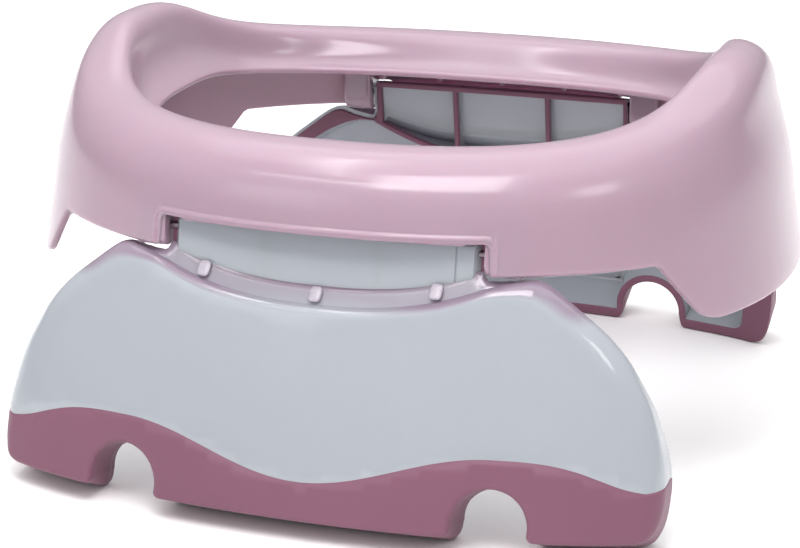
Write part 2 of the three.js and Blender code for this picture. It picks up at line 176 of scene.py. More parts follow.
SHOULDER_RADIUS = 6.3
TOE_X = 124.0
# Heights over which painted shade and a painted reflection of the pink ring fade in on the white plastic
PAINTED_SHADE_LOW = 83.0
PAINTED_SHADE_HIGH = 89.0
END_CAP_LOW = 90.5
RIB_CAP_LOW = 76.5

# ---- Stop buffers ----
STOP_HALF_LENGTH = 3.2
STOP_HALF_WIDTH = 2.4
STOP_HALF_HEIGHT = 0.9

# ---- Colours: the two tones that each material drifts between ----
PINK = ((0.318, 0.222, 0.278), (0.337, 0.236, 0.293))
WHITE = ((0.318, 0.343, 0.375), (0.335, 0.360, 0.392))
# Painted shade with a painted reflection of the pink ring, for the white plastic's upward faces under the
# ring
PAINTED_SHADE_AND_REFLECTION = (0.235, 0.185, 0.24, 1)
ROSE = ((0.166, 0.066, 0.103), (0.182, 0.073, 0.114))
STEEL = ((0.20, 0.16, 0.18), (0.26, 0.21, 0.23))
CLEAR = ((0.37, 0.34, 0.39), (0.41, 0.38, 0.43))
PAPER = ((0.96, 0.96, 0.96), (0.97, 0.97, 0.97))

# ---- Camera, in metres and degrees ----
CAMERA_AZIMUTH = 18.4
CAMERA_ELEVATION = 17.6
CAMERA_DISTANCE = 0.943
CAMERA_TARGET = (-0.01077, 0, 0.05571)
CAMERA_LENS = 98.17

# ---- Studio, in metres and watts: place, target, size, power, colour ----
FLOOR_SIZE = 6.0
FLOOR_DROP = 0.0004
PLAIN = (1, 1, 1)
LIGHTS = {
    "overhead_softbox": ((0.1, 0.6, 2.2), (0, 0.1, 0.1), (3.0, 2.2), 23, PLAIN),
    "left_window": ((-1.16, -2.1, 1.06), (0, -0.14, 0.06), (0.93, 0.95), 4.2, (0.97, 0.98, 1.0)),
    "right_fill": ((1.9, -1.2, 1.5), (0, 0, 0.1), (0.6, 0.6), 5, PLAIN),
    "overhead_strip": ((-0.63, -0.12, 2.0), (0, -0.12, 0.13), (1.5, 0.09), 4, PLAIN),
    "front_strip": ((-0.55, -1.3, 1.87), (0, 0.1, 0.13), (1.3, 0.08), 3, PLAIN),
    "rear_fill": ((0.05, -0.36, 0.64), (0, 0.15, 0.09), (0.3, 0.3), 2.4, (1.0, 0.95, 0.98)),
}
HORIZON_STRENGTH = 0.3
ZENITH_STRENGTH = 1.15


# ---- Curves ----

def spline(knots, where):
    """A natural cubic spline through the knots, at fractions 0..1 of its chord length."""
    knots = np.asarray(knots, float)
    gaps = np.linalg.norm(np.diff(knots, axis=0), axis=1)
    u = np.concatenate([[0], np.cumsum(gaps)])
    n = len(u)
    matrix = np.eye(n)
    right = np.zeros_like(knots)
    for i in range(1, n - 1):
        matrix[i, i - 1] = gaps[i - 1]
        matrix[i, i] = 2 * (gaps[i - 1] + gaps[i])
        matrix[i, i + 1] = gaps[i]
        right[i] = 6 * ((knots[i + 1] - knots[i]) / gaps[i] - (knots[i] - knots[i - 1]) / gaps[i - 1])
    bend = np.linalg.solve(matrix, right)
    q = np.asarray(where, float) * u[-1]
    i = np.clip(np.searchsorted(u, q) - 1, 0, n - 2)
    h = (u[i + 1] - u[i])[:, None]
    a = (u[i + 1] - q)[:, None]
    b = (q - u[i])[:, None]
    return (
        (bend[i] * a**3 + bend[i + 1] * b**3) / (6 * h)
        + (knots[i] / h - bend[i] * h / 6) * a
        + (knots[i + 1] / h - bend[i + 1] * h / 6) * b
    )


def rounded_corner(before, corner, after, cut, steps):
    """Points round a corner, which starts and ends at the cut length from it."""
    a = corner + (before - corner) / np.linalg.norm(before - corner) * cut
    b = corner + (after - corner) / np.linalg.norm(after - corner) * cut
    return [(1 - t) ** 2 * a + 2 * t * (1 - t) * corner + t * t * b for t in np.linspace(0, 1, steps + 1)]


def rounded_path(points, cuts, steps):
    """A polyline through the points, with each inner corner rounded off over its cut length."""
    points = [np.asarray(p, float) for p in points]
    path = [points[0]]
    for before, corner, after, cut in zip(points, points[1:], points[2:], cuts):
        path += rounded_corner(before, corner, after, cut, steps)
    return np.array([*path, points[-1]])


def rounded_polygon(points, cut, steps):
    """A closed polygon with every corner rounded off."""
    points = [np.asarray(p, float) for p in points]
    out = []
    for i, corner in enumerate(points):
        out += rounded_corner(points[i - 1], corner, points[(i + 1) % len(points)], cut, steps)
    return out


def resample(path, step):
    """Points along a polyline at even steps."""
    path = np.asarray(path, float)
    s = np.concatenate([[0], np.cumsum(np.linalg.norm(np.diff(path, axis=0), axis=1))])
    q = np.linspace(0, s[-1], max(2, int(round(s[-1] / step)) + 1))
    return np.stack([np.interp(q, s, path[:, k]) for k in range(path.shape[1])], 1)


def smoothstep(t):
    """0 below 0, 1 above 1, and a smooth rise between."""
    t = np.clip(t, 0, 1)
    return t * t * (3 - 2 * t)


# ---- Meshes ----

def in_scene(name, data):
    """A new object in the scene, made from its data."""
    obj = bpy.data.objects.new(name, data)
    bpy.context.scene.collection.objects.link(obj)
    return obj


class Skin:
    """Collects points and faces, then becomes one smooth-shaded object."""

    def __init__(self):
        self.points = []
        self.faces = []

    def add(self, points):
        start = len(self.points)
        self.points.extend(np.asarray(points, float).reshape(-1, 3).tolist())
        return np.arange(start, len(self.points))

    def strip(self, a, b, closed=True):
        count = len(a)
        for i in range(count if closed else count - 1):
            j = (i + 1) % count
            self.faces.append((a[i], a[j], b[j], b[i]))

    def rows(self, rows, closed=True):
        index = [self.add(row) for row in rows]
        for a, b in zip(index, index[1:]):
            self.strip(a, b, closed)
        return index

    def solid(self, rows):
        """A closed solid through rows that are all closed loops."""
        index = self.rows(rows)
        self.faces.append(tuple(index[0]))
        self.faces.append(tuple(index[-1]))

    def triangles(self, index, triangles):
        self.faces.extend(tuple(int(index[k]) for k in t) for t in triangles)

    def build(self, name, turned=False, sharp=35):
        points = np.array(self.points) * MM
        if turned:
            points = points * [-1, -1, 1]
        mesh = bpy.data.meshes.new(name)
        mesh.from_pydata(points.tolist(), [], self.faces)
        work = bmesh.new()
        work.from_mesh(mesh)
        bmesh.ops.remove_doubles(work, verts=work.verts, dist=2e-6)
        bmesh.ops.dissolve_degenerate(work, edges=work.edges, dist=1e-6)
        bmesh.ops.recalc_face_normals(work, faces=work.faces)
        work.to_mesh(mesh)
        work.free()
        obj = in_scene(name, mesh)
        shade(obj, sharp)
        return obj


def shade(obj, sharp):
    """Smooth shading, with edges above the given angle left sharp."""
    obj.data.shade_smooth()
    work = bmesh.new()
    work.from_mesh(obj.data)
    limit = math.radians(sharp)
    for edge in work.edges:
        if len(edge.link_faces) == 2:
            edge.smooth = edge.calc_face_angle(0) < limit
    work.to_mesh(obj.data)
    work.free()


def inside(loops, points):
    """True for the points inside an odd number of the loops."""
    hit = np.zeros(len(points), bool)
    for loop in loops:
        for (ax, az), (bx, bz) in zip(loop, np.roll(loop, -1, axis=0)):
            if az == bz:
                continue
            cross = (points[:, 1] > min(az, bz)) & (points[:, 1] <= max(az, bz))
            hit ^= cross & (points[:, 0] < ax + (points[:, 1] - az) * (bx - ax) / (bz - az))
    return hit


def fill(loops, lines, step):
    """Triangles over the inside of the loops. Returns 2-D points and triangles; the loops come first."""
    points = [p for loop in loops for p in loop]
    edges = []
    start = 0
    for loop in loops:
        edges += [(start + i, start + (i + 1) % len(loop)) for i in range(len(loop))]
        start += len(loop)
    for line in lines:
        points += list(line)
        edges += [(start + i, start + i + 1) for i in range(len(line) - 1)]
        start += len(line)
    fixed = np.array(points)
    low = fixed.min(0)
    high = fixed.max(0)
    if step:
        xs = np.arange(low[0], high[0], step)
        zs = np.arange(low[1], high[1], step * 0.866)
        grid = np.array([(x + (k % 2) * step / 2, z) for k, z in enumerate(zs) for x in xs])
        grid = grid[inside(loops, grid)]
        if len(grid):
            near = np.array([np.min(np.sum((fixed - g) ** 2, axis=1)) for g in grid])
            grid = grid[near > (0.55 * step) ** 2]
            points += list(grid)
    flat = [Vector((float(p[0]), float(p[1]))) for p in points]
    made, _, faces, origin, _, _ = delaunay_2d_cdt(flat, edges, [], 0, 1e-6)
    back = [o[0] if o else -1 for o in origin]
    made = np.array([(v.x, v.y) for v in made])
    centre = np.array([made[list(f)].mean(0) for f in faces])
    keep = inside(loops, centre)
    triangles = [[back[k] for k in f] for f, ok in zip(faces, keep) if ok and min(back[k] for k in f) >= 0]
    return np.array([(float(p[0]), float(p[1])) for p in points]), triangles


# ---- Materials ----

def settings(node, values):
    """Sets a node's inputs by their names."""
    for name, value in values.items():
        node.inputs[name].default_value = value


def link(tree, source, output, target, entry):
    tree.links.new(source.outputs[output], target.inputs[entry])


def noise_node(tree, place, scale, detail):
    noise = tree.nodes.new("ShaderNodeTexNoise")
    settings(noise, {"Scale": scale, "Detail": detail})
    link(tree, place, "Object", noise, "Vector")
    return noise


def tinted(name, scale, tones):
    """A material whose colour drifts softly between two tones, with its tree, shader and coordinates."""
    material = bpy.data.materials.new(name)
    material.use_nodes = True
    tree = material.node_tree
    shader = tree.nodes["Principled BSDF"]
    place = tree.nodes.new("ShaderNodeTexCoord")
    noise = noise_node(tree, place, scale, 3.0)
    ramp = tree.nodes.new("ShaderNodeValToRGB")
    for element, position, tone in zip(ramp.color_ramp.elements, (0.3, 0.7), tones):
        element.position = position
        element.color = (*tone, 1)
    link(tree, noise, "Fac", ramp, "Fac")
    link(tree, ramp, "Color", shader, "Base Color")
    return material, tree, shader, place


def bumped(tree, shader, place, scale, strength, distance):
    """Faint unevenness of the surface."""
    noise = noise_node(tree, place, scale, 4.0)
    bump = tree.nodes.new("ShaderNodeBump")
    settings(bump, {"Strength": strength, "Distance": distance})
    link(tree, noise, "Fac", bump, "Height")
    link(tree, bump, "Normal", shader, "Normal")


def roughened(tree, shader, place, scale, low, high):
    """A roughness that drifts between two values."""
    noise = noise_node(tree, place, scale, 5.0)
    span = tree.nodes.new("ShaderNodeMapRange")
    settings(span, {"To Min": low, "To Max": high})
    link(tree, noise, "Fac", span, "Value")
    link(tree, span, "Result", shader, "Roughness")


def translucent(shader, radius):
    """Light that enters the plastic and spreads a few millimetres."""
    settings(shader, {"Subsurface Weight": 0.3, "Subsurface Radius": radius, "Subsurface Scale": 1.0})


def pink_plastic():
    material, tree, shader, place = tinted("seat_pink_gloss", 9.0, PINK)
    roughened(tree, shader, place, 60.0, 0.15, 0.24)
    bumped(tree, shader, place, 90.0, 0.05, 0.0002)
    translucent(shader, (0.010, 0.004, 0.006))
    settings(shader, {"Coat Weight": 0.15, "Coat Roughness": 0.08})
    return material


def rising(tree, low, high):
    """A node whose value rises smoothly from 0 to 1 as its input goes from low to high."""
    node = tree.nodes.new("ShaderNodeMapRange")
    node.interpolation_type = "SMOOTHSTEP"
    settings(node, {"From Min": low, "From Max": high})
    return node


def white_plastic():
    """Glossy white, with painted shade and a painted reflection of the pink ring on what faces up on the
    ledge and the shoulders, under the ring.
    """
    material, tree, shader, place = tinted("leg_white_gloss", 8.0, WHITE)
    plain = shader.inputs["Base Color"].links[0].from_socket
    split = tree.nodes.new("ShaderNodeSeparateXYZ")
    height = rising(tree, PAINTED_SHADE_LOW * MM, PAINTED_SHADE_HIGH * MM)
    facing = tree.nodes.new("ShaderNodeSeparateXYZ")
    upward = rising(tree, 0.4, 0.75)
    # Painted shade and painted ring reflection: a darker, pinker colour mixed in on faces that point up,
    # above a height
    painted_shade = tree.nodes.new("ShaderNodeMix")
    painted_shade.data_type = "RGBA"
    painted_shade.inputs[COLOUR_B].default_value = PAINTED_SHADE_AND_REFLECTION
    link(tree, place, "Object", split, "Vector")
    link(tree, split, "Z", height, "Value")
    link(tree, height, "Result", upward, "To Max")
    link(tree, place, "Normal", facing, "Vector")
    link(tree, facing, "Z", upward, "Value")
    link(tree, upward, "Result", painted_shade, "Factor")
    tree.links.new(plain, painted_shade.inputs[COLOUR_A])
    link(tree, painted_shade, COLOUR_RESULT, shader, "Base Color")
    roughened(tree, shader, place, 50.0, 0.10, 0.17)
    bumped(tree, shader, place, 80.0, 0.04, 0.0002)
    translucent(shader, (0.008, 0.007, 0.008))
    settings(shader, {"Coat Weight": 0.35, "Coat Roughness": 0.05})
    return material


def rose_rubber():
    material, tree, shader, place = tinted("grip_rose_rubber", 14.0, ROSE)
    roughened(tree, shader, place, 400.0, 0.42, 0.58)
    bumped(tree, shader, place, 1600.0, 0.12, 0.0001)
    settings(shader, {"Specular IOR Level": 0.35, "Sheen Weight": 0.05, "Sheen Roughness": 0.5})
    return material


def pin_metal():
    material, tree, shader, place = tinted("pin_brushed_steel", 300.0, STEEL)
    roughened(tree, shader, place, 900.0, 0.25, 0.42)
    settings(shader, {"Metallic": 1.0})
    return material


def stop_plastic():
    material, tree, shader, place = tinted("stop_translucent", 200.0, CLEAR)
    roughened(tree, shader, place, 500.0, 0.22, 0.32)
    translucent(shader, (0.003, 0.003, 0.003))
    return material


def floor_paper():
    material, _, shader, _ = tinted("floor_paper", 2.0, PAPER)
    settings(shader, {"Roughness": 0.9})
    return material


def dress(obj, material, body, node):
    """Gives a piece its material, its body and the CAD node that it replaces."""
    obj.data.materials.clear()
    obj.data.materials.append(material)
    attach(obj, body)
    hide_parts(node)


# ---- Seat ring ----

def signed_power(value, exponent):
    return math.copysign(abs(value) ** exponent, value)


def oval(half_x, half_y, power, angle):
    """A point of a superellipse."""
    c = signed_power(math.cos(angle), 2 / power)
    s = signed_power(math.sin(angle), 2 / power)
    return half_x * c, half_y * s


def endness(y):
    """1 at the two ends of the ring, 0 along its long sides."""
    value = 1 / (1 + (abs(y) / CREST_FALL_Y) ** CREST_FALL_POWER)
    rest = 1 / (1 + (CREST_END_Y / CREST_FALL_Y) ** CREST_FALL_POWER)
    return max(0.0, (value - rest) / (1 - rest))


def skirt_half(z):
    """The skirt's half length and half width at a height."""
    shift = SKIRT_FLARE * (z - SKIRT_BOTTOM)
    return SKIRT_HALF_LENGTH - shift, SKIRT_HALF_WIDTH - shift


def ring_knots(angle):
    """The outer face in section, from below the skirt's edge up over the crest and down to the lip."""
    end = endness(oval(127.5, CREST_HALF_Y - 1, LIP_POWER, angle)[1])

    def mix(side, tip):
        return side + (tip - side) * end

    crest = mix(SIDE_CREST_Z, END_CREST_Z)
    low = SKIRT_BOTTOM - 4
    middle = mix(118, 122)
    rows = [
        (*skirt_half(low), SKIRT_POWER, low),
        (*skirt_half(SIDE_SKIRT_BOTTOM), SKIRT_POWER, SIDE_SKIRT_BOTTOM),
        (*skirt_half(middle), SKIRT_POWER, middle),
        (mix(148.5, 145.3), 130.5, SKIRT_POWER, crest - mix(13, 17.5)),
        (mix(140, 141.8), 123, SKIRT_POWER, crest - mix(4.2, 3.6)),
        (mix(129, 139.3), CREST_HALF_Y, LIP_POWER, crest),
        (mix(121, 124.6), 97, 2.5, crest - mix(2.8, -3.1)),
        (mix(118, 117.4), 86, 2.8, crest - mix(12.5, 15.7)),
        (mix(116, 107.5), 80.3, 2.8, mix(127.3, 133.5)),
    ]
    return np.array([(*oval(a, b, power, angle), z) for a, b, power, z in rows])


def notch_gap(x, z):
    """How far a point lies outside the notch's outline, seen along Y."""
    qx = np.abs(x) - CORNER_X
    qz = z - CORNER_Z
    away = np.hypot(np.maximum(qx, 0), np.maximum(qz, 0))
    return np.where((qx > 0) | (qz > 0), away - NOTCH_CORNER, -1.0)


def ring_columns():
    """Angles round the ring, fine beside the notch corners, each with whether it is inside a notch."""
    half_x, half_y = skirt_half(COLUMN_Z)

    def angle_at(x):
        return math.acos(min(1, (x / half_x) ** (SKIRT_POWER / 2)))

    fine = np.linspace(1e-6, angle_at(NOTCH_HALF + RIM_BULGE), 4000)
    path = np.array([oval(half_x, half_y, SKIRT_POWER, t) for t in fine])
    s = np.concatenate([[0], np.cumsum(np.linalg.norm(np.diff(path, axis=0), axis=1))])
    beads = np.arange(0, BEAD_WIDTH + 2 * BEAD_STEP, BEAD_STEP)[::-1]
    coarse = np.linspace(0, s[-1] - beads[0] - BEAD_STEP, 66)
    outside = np.interp(np.concatenate([coarse, s[-1] - beads]), s, fine)
    outside[0] = 0.0
    corner = [CORNER_X + NOTCH_CORNER * math.cos(a) for a in np.radians(np.arange(10, 91, 10))]
    flat = np.linspace(corner[-1], 0, 27)[1:]
    within = [angle_at(x) for x in [*corner, *flat]]
    quarter = [(t, False) for t in outside] + [(t, True) for t in within]
    rear = quarter + [(math.pi - t, n) for t, n in quarter[-2::-1]]
    return rear + [(t + math.pi, n) for t, n in rear[1:-1]]


def ring_surface(columns, rows_of):
    """Points and outward normals at every column's rows."""
    points = []
    normals = []
    tiny = 1e-3
    for angle, rows in zip(columns, rows_of):
        knots = ring_knots(angle)
        here = spline(knots, rows)
        before = spline(ring_knots(angle - tiny), rows)
        after = spline(ring_knots(angle + tiny), rows)
        up = spline(knots, np.minimum(rows + tiny, 1)) - spline(knots, np.maximum(rows - tiny, 0))
        normal = np.cross(after - before, up)
        points.append(here)
        normals.append(normal / np.linalg.norm(normal, axis=1, keepdims=True))
    return np.array(points), np.array(normals)


def bead_out(points, normals):
    """Raises the rolled bead around each notch."""
    gap = notch_gap(points[..., 0], points[..., 2])
    q = (gap - BEAD_WIDTH / 2) / (BEAD_WIDTH / 2)
    rise = BEAD_RISE * np.maximum(0, 1 - q * q) ** 0.7
    low = points[..., 2] < BEAD_TOP_Z
    rise = np.where(low & (np.abs(points[..., 0]) < BEAD_END_X), rise, 0)
    return points + normals * rise[..., None]


def seat_ring_piece():
    """The whole pink moulding: skirt, crest and lip as one skin, with the rails and brackets under it."""
    lower_rows = 8
    columns = ring_columns()
    angles = [t for t, _ in columns]
    notched = np.array([n for _, n in columns])
    tip_z = SKIRT_BOTTOM - 1.4
    lobe = rounded_path(
        [(0, SIDE_SKIRT_BOTTOM), (LOBE_TOP_X, SIDE_SKIRT_BOTTOM), (LOBE_TIP_X, tip_z), (200, tip_z)],
        [1.2, 6],
        12,
    )
    probe = np.linspace(0, 1, 500)
    upper_v = []
    lower_v = []
    for angle, within in columns:
        curve = spline(ring_knots(angle), probe)
        outer = curve[:, 2] < RISING_Z
        x = abs(oval(*skirt_half(COLUMN_Z), SKIRT_POWER, angle)[0])
        seam_z = CORNER_Z
        if within:
            seam_z += math.sqrt(max(0.0, NOTCH_CORNER**2 - max(0.0, x - CORNER_X) ** 2))
        bottom_x = abs(oval(*skirt_half(LOBE_Z), SKIRT_POWER, angle)[0])
        bottom_z = np.interp(bottom_x, lobe[:, 0], lobe[:, 1]) + RIM_BULGE
        v_seam, v_bead, v_bottom = np.interp(
            [seam_z, seam_z + BEAD_WIDTH + 2 * BEAD_STEP, bottom_z], curve[outer, 2], probe[outer]
        )
        bead = np.linspace(v_seam, v_bead, 10)[:-1]
        upper_v.append(np.concatenate([bead, np.linspace(v_bead, 1, 46)]))
        lower_v.append(np.linspace(v_bottom, v_seam, lower_rows + 1)[:-1])
    upper, upper_n = ring_surface(angles, upper_v)
    lower, lower_n = ring_surface(angles, lower_v)

    skin = Skin()
    count = len(columns)
    last = upper.shape[1] - 1
    up_out = skin.add(bead_out(upper, upper_n)).reshape(count, -1)
    up_in = skin.add(upper - upper_n * WALL).reshape(count, -1)
    low_out = skin.add(bead_out(lower, lower_n)).reshape(count, -1)
    low_in = skin.add(lower - lower_n * WALL).reshape(count, -1)

    def quads(grid_a, grid_b):
        for j in range(len(grid_a) - 1):
            skin.faces.append((grid_a[j], grid_b[j], grid_b[j + 1], grid_a[j + 1]))

    for i in range(count):
        k = (i + 1) % count
        quads(up_out[i], up_out[k])
        quads(up_in[i], up_in[k])
        if not notched[i] and not notched[k]:
            quads([*low_out[i], up_out[i][0]], [*low_out[k], up_out[k][0]])
            quads([*low_in[i], up_in[i][0]], [*low_in[k], up_in[k][0]])

    def rim(outer, inner, outer_index, inner_index, away):
        """Closes two edges with a rounded rim. away is the direction out of the material."""
        middle = (outer + inner) / 2
        half = (outer - inner) / 2
        rows = [outer_index]
        for a in np.linspace(0, math.pi, 8)[1:-1]:
            rows.append(skin.add(middle + half * math.cos(a) + away * RIM_BULGE * math.sin(a)))
        rows.append(inner_index)
        for a, b in zip(rows, rows[1:]):
            skin.strip(a, b)

    def out_of_material(points, normals):
        along = np.roll(points, -1, axis=0) - np.roll(points, 1, axis=0)
        away = np.cross(along, normals)
        return away / np.linalg.norm(away, axis=1, keepdims=True)

    lip = upper[:, last]
    away = out_of_material(lip, upper_n[:, last])
    if away[0][2] > 0:
        away = -away
    rim(lip, lip - upper_n[:, last] * WALL, up_out[:, last], up_in[:, last], away)

    # the lower edge: along each end panel, up beside each notch, over it and down again
    path = []
    for i in range(count):
        k = (i + 1) % count
        h = (i - 1) % count
        if notched[i]:
            path.append(("up", i, 0))
            continue
        if notched[h]:
            path.append(("up", i, 0))
            path += [("low", i, j) for j in range(lower_rows - 1, 0, -1)]
        path.append(("low", i, 0))
        if notched[k]:
            path += [("low", i, j) for j in range(1, lower_rows)]
            path.append(("up", i, 0))
    sources = {"up": (upper, upper_n, up_out, up_in), "low": (lower, lower_n, low_out, low_in)}
    edge = np.array([sources[g][0][i, j] for g, i, j in path])
    normal = np.array([sources[g][1][i, j] for g, i, j in path])
    outer_index = [sources[g][2][i][j] for g, i, j in path]
    inner_index = [sources[g][3][i][j] for g, i, j in path]
    away = out_of_material(edge, normal)
    lowest = int(np.argmin(edge[:, 2]))
    if away[lowest][2] > 0:
        away = -away
    rim(edge, edge - normal * WALL, outer_index, inner_index, away)
    for side in (-1, 1):
        stop_rail(skin, side)
        for end in (-1, 1):
            bracket(skin, end, side)
    return skin.build("seat_ring_moulding", sharp=60)


def ring_reach(x, z):
    """How far out in Y the ring's outer face lies at a height, on its long side."""
    heights = [SKIRT_BOTTOM, 118, 123.3, 136.6, SIDE_CREST_Z]
    half_x = np.interp(z, heights, [SKIRT_HALF_LENGTH, 152, 148.5, 140, 129])
    half_y = np.interp(z, heights, [SKIRT_HALF_WIDTH, 133.5, 130.5, 123, CREST_HALF_Y])
    return half_y * max(0.0, 1 - (abs(x) / half_x) ** SKIRT_POWER) ** (1 / SKIRT_POWER)


def stop_rail(skin, side):
    """The curved rail that hangs over the neck, between the brackets, with its five small ribs."""
    rows = []
    for x in np.linspace(-RAIL_HALF, RAIL_HALF, 41):
        o = RAIL_OUT - float(bow(x))
        low = RAIL_LOW + RAIL_END_RISE * float(smoothstep((abs(x) - RAIL_END_X) / 3))
        heights = (low, *np.arange(RAIL_STEP_LOW, RAIL_TOP + 1, 4))
        faces = [(min(o + RAIL_SKIN, ring_reach(x, z) - RAIL_CLEAR), z) for z in heights]
        points = faces + [(y - RAIL_SKIN, z) for y, z in faces[::-1]]
        rows.append([(x, side * a, b) for a, b in rounded_polygon(points, SMALL_ROUND, 2)])
    skin.solid(rows)
    for x in TOOTH_XS:
        o = min(TOOTH_OUT - float(bow(x)), ring_reach(x, TOOTH_HIGH) - TOOTH_CLEAR)
        rows = []
        for dx, shrink in ((-1.2, 0.4), (-0.9, 0.05), (0.9, 0.05), (1.2, 0.4)):
            low = TOOTH_LOW + shrink
            high = TOOTH_HIGH - shrink
            points = [(o - 8.6 + shrink, low), (o, low), (o, high), (o - 6.4 + shrink, high)]
            rows.append([(x + dx, side * a, b) for a, b in rounded_polygon(points, SMALL_ROUND, 2)])
        skin.solid(rows)


def bracket(skin, end, side):
    """A hinge bracket: a column under the ring with a half-round knuckle about the hinge."""
    arc = [
        (HINGE_Y - BRACKET_RADIUS * math.cos(a), HINGE_Z - BRACKET_RADIUS * math.sin(a))
        for a in np.linspace(0, math.pi, 17)
    ]
    tall = np.linspace(HINGE_Z, BRACKET_TOP_Z, 8)[1:]
    outline = arc + [(HINGE_Y + BRACKET_RADIUS, z) for z in tall]
    outline += [(HINGE_Y - BRACKET_RADIUS, z) for z in tall[::-1]]
    middle = np.array([HINGE_Y, HINGE_Z])
    edge = BRACKET_EDGE
    soft = 0.3 * edge
    near = [(BRACKET_INNER_X, edge), (BRACKET_INNER_X + soft, soft), (BRACKET_INNER_X + edge, 0)]
    far = [(BRACKET_OUTER_X - edge, 0), (BRACKET_OUTER_X - soft, soft), (BRACKET_OUTER_X, edge)]
    between = [(x, 0) for x in np.linspace(BRACKET_INNER_X + 2, BRACKET_OUTER_X - 2, 4)]
    rows = []
    for x, shrink in near + between + far:
        row = []
        for y, z in outline:
            d = np.array([y, min(z, HINGE_Z)]) - middle
            away = d / max(1e-6, np.linalg.norm(d))
            y2 = y - away[0] * shrink
            z2 = z - (away[1] * shrink if z < HINGE_Z else 0)
            y2 = min(y2, ring_reach(x, z2) - BRACKET_CLEAR)
            row.append((end * x, side * y2, z2))
        rows.append(row)
    skin.solid(rows)


# ---- Leg surfaces, on the +Y side ----

def bow(x):
    """How far the leg's faces curve back from the middle towards the ends."""
    return np.asarray(x, float) ** 2 / 1050 + 5 * (np.abs(x) / 129) ** 6


def inner_face(x, z):
    return INNER_FOOT_O - INNER_SLOPE * z - bow(x) * (1 - 0.75 * z / LEG_TOP)


def outer_face(x, z):
    return OUTER_FOOT_O - OUTER_SLOPE * z - bow(x)


def neck_face(x, z):
    return NECK_OUTER_O - NECK_SLOPE * z - bow(x)


def ledge_edge(x):
    """The height of the panel's top edge, which dips in the middle."""
    return LEDGE_LOW + (LEDGE_HIGH - LEDGE_LOW) * (np.abs(x) / SHOULDER_X) ** 2.5


def arc_rib(x):
    """The height of the curved rib across the open side of the leg."""
    return ARC_LOW + (ARC_HIGH - ARC_LOW) * (np.asarray(x) / ARC_HALF) ** 2


def wave_line(x):
    """The height of the foot band's top edge: highest over the finger notches, lower between and beyond."""
    d = np.abs(x)
    middle = (BAND_HIGH + BAND_LOW) / 2 - (BAND_HIGH - BAND_LOW) / 2 * np.cos(np.pi * d / FINGER_X)
    t = np.clip((d - FINGER_X) / (BAND_END_X - FINGER_X), 0, 1) ** 1.6
    end = (BAND_HIGH + BAND_END) / 2 + (BAND_HIGH - BAND_END) / 2 * np.cos(np.pi * t)
    return np.where(d < FINGER_X, middle, end)


def mirrored(right, sign=(-1, 1)):
    """A closed loop from its right half, which runs from the bottom middle up to the top middle."""
    return np.concatenate([right, right[-2:0:-1] * sign])


def finger_arc(radius, middle, start):
    """The top of a finger notch, from the left to the right, between two equal angles off the level."""
    return np.array([
        (FINGER_X + radius * math.cos(a), middle + radius * math.sin(a))
        for a in np.linspace(math.pi - start, start, 37)
    ])


def panel_outline():
    """The outline of the panel's outer face, the drop of its foot on the inner side, and its edge radius."""
    smile_x = 62
    left_wall = FINGER_X - FINGER_RADIUS
    right_wall = FINGER_X + FINGER_RADIUS
    toe_end = (TOE_X, SOLE_RISE)
    foot, heel = (
        rounded_path(path, [OUTLINE_CORNER], 5) for path in (
            [(0, SOLE_RISE), (left_wall, SOLE_RISE), (left_wall, FINGER_MIDDLE)],
            [(right_wall, FINGER_MIDDLE), (right_wall, SOLE_RISE), toe_end],
        )
    )
    side = spline(
        [toe_end, (129.8, 9.6), (132.4, 14.5), (133.2, 22), (132.5, 32), (130, 42), (126.5, 52),
         (121.4, 61.8), (117.6, 68.4), (112, 75.7), (106, 81.6), (98.5, 87.6), (92.5, 92.2), (87.5, 95.8),
         (81.5, 98.4), (76, 98.1), (SHOULDER_X + 4, 97.2), (smile_x, ledge_edge(smile_x))],
        np.linspace(0, 1, 110),
    )
    smile = np.array([(x, ledge_edge(x)) for x in np.linspace(smile_x, 0, 31)])
    sole = resample(foot[:2], OUTLINE_STEP)
    toe = resample(heel[-2:], OUTLINE_STEP)
    notch = finger_arc(FINGER_RADIUS, FINGER_MIDDLE, 0.0)
    right = np.concatenate([sole[:-1], foot[1:], notch[1:-1], heel[:-2], toe[:-1], side[:-1], smile])
    right[-1, 0] = 0
    x, z = right.T
    span = np.where(x > 110, 10.0, FINGER_MIDDLE - SOLE_RISE)
    drop = np.clip(1 - (z - SOLE_RISE) / span, 0, 1)
    drop = np.where((x > 100) | (z < FINGER_MIDDLE + 0.01), drop, 0)
    notched = (np.abs(x - FINGER_X) < FINGER_RADIUS + 0.1) & (z < FOOT_TOP_Z)
    drop = np.where(notched, np.maximum(drop, FINGER_DROP / SOLE_RISE), drop)
    radius = np.interp(z, [8, 14, 22, 40, 70], [2.4, 4.4, 5.4, 6.2, 6.5])
    radius = np.where((x < TOE_START_X) & (z < FOOT_TOP_Z), EDGE_RADIUS, radius)
    radius = np.where(notched, EDGE_RADIUS + 0.8 * smoothstep((z - SOLE_RISE) / 5), radius)
    high = z > PANEL_TOP_Z
    along = (x - SHOULDER_START_X) / (SHOULDER_END_X - SHOULDER_START_X)
    top_radius = LEDGE_RADIUS + (SHOULDER_RADIUS - LEDGE_RADIUS) * np.maximum(0, along)
    radius = np.where(high & (x < SHOULDER_END_X), top_radius, radius)
    return mirrored(right), mirrored(drop, 1), mirrored(radius, 1)


def inward(loop):
    """Unit normals that point into a loop that runs anticlockwise."""
    along = np.roll(loop, -1, axis=0) - np.roll(loop, 1, axis=0)
    along /= np.linalg.norm(along, axis=1, keepdims=True)
    return np.stack([-along[:, 1], along[:, 0]], 1)


def placed(flat, o):
    """Points in space, from points in X and Z and how far out they lie."""
    return np.stack([flat[:, 0], o, flat[:, 1]], 1)


